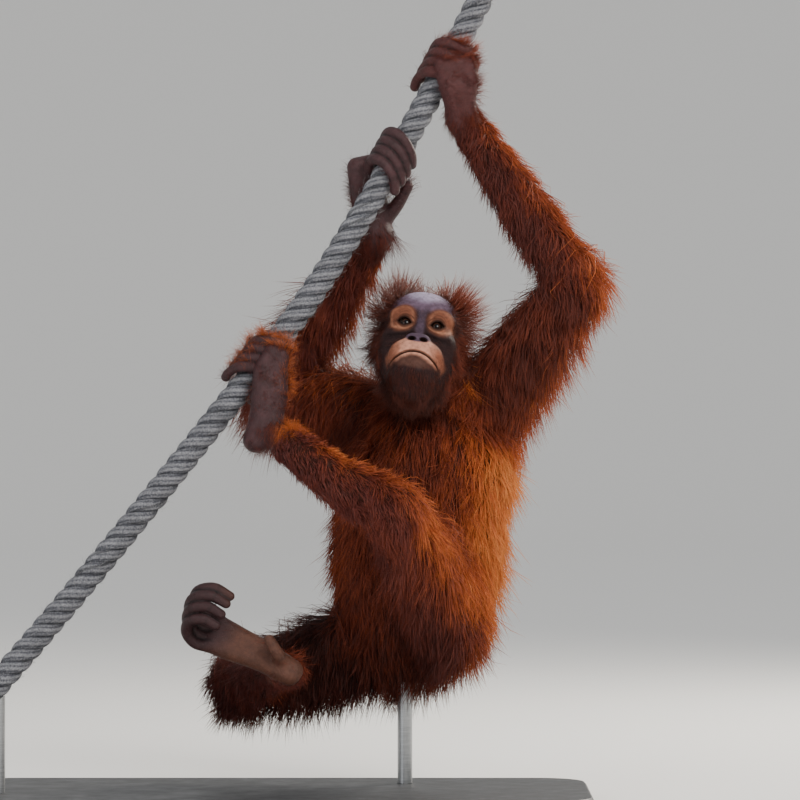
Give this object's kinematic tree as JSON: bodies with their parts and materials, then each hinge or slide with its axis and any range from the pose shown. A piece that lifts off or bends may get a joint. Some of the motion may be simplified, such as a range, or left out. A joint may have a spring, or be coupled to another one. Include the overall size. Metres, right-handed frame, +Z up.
{
  "type": "young orangutan climbing a rope, still museum model on a display stand",
  "caption": "Still life-size model of a young orangutan hanging from a slanting rope by both hands and a foot, held on a flat display stand with rods.",
  "frame": {"origin": "centre of the stand base's underside", "axes": "+Z up; the animal faces -Y and its left side is toward +X; the rope rises toward +X"},
  "size_m": [0.7826, 0.4515, 1.0009],
  "materials": {
    "coat": "long shaggy rust-red to bright orange hair",
    "coat_dark": "short dark maroon-brown hair with long orange fringes",
    "face_skin": "bare dark purple-grey skin, tan round the eyes and on the upper lip",
    "hand_skin": "bare dark purple-brown skin with short hair",
    "sole_skin": "bare tan sole skin, dark at the toes",
    "eyes": "glossy dark brown",
    "rope": "weathered light grey laid rope",
    "stand_base": "satin dark grey paint",
    "stand_rods": "satin steel"
  },
  "bodies": {
    "root": {"rope": "rope", "head": "face_skin", "torso": "coat", "neck": "coat", "upper_arm_left": "coat", "upper_arm_right": "coat", "forearm_left": "coat_dark", "forearm_right": "coat_dark", "thigh_left": "coat", "thigh_right": "coat", "shin_left": "coat_dark", "shin_right": "coat_dark", "eye_left": "eyes", "ear_left": "hand_skin", "eye_right": "eyes", "ear_right": "hand_skin", "hand_left": "hand_skin", "hand_right": "hand_skin", "foot_left": "hand_skin", "foot_right": "sole_skin", "stand_base": "stand_base", "stand_rod_body": "stand_rods", "stand_rod_rope": "stand_rods"}
  },
  "joints": []
}
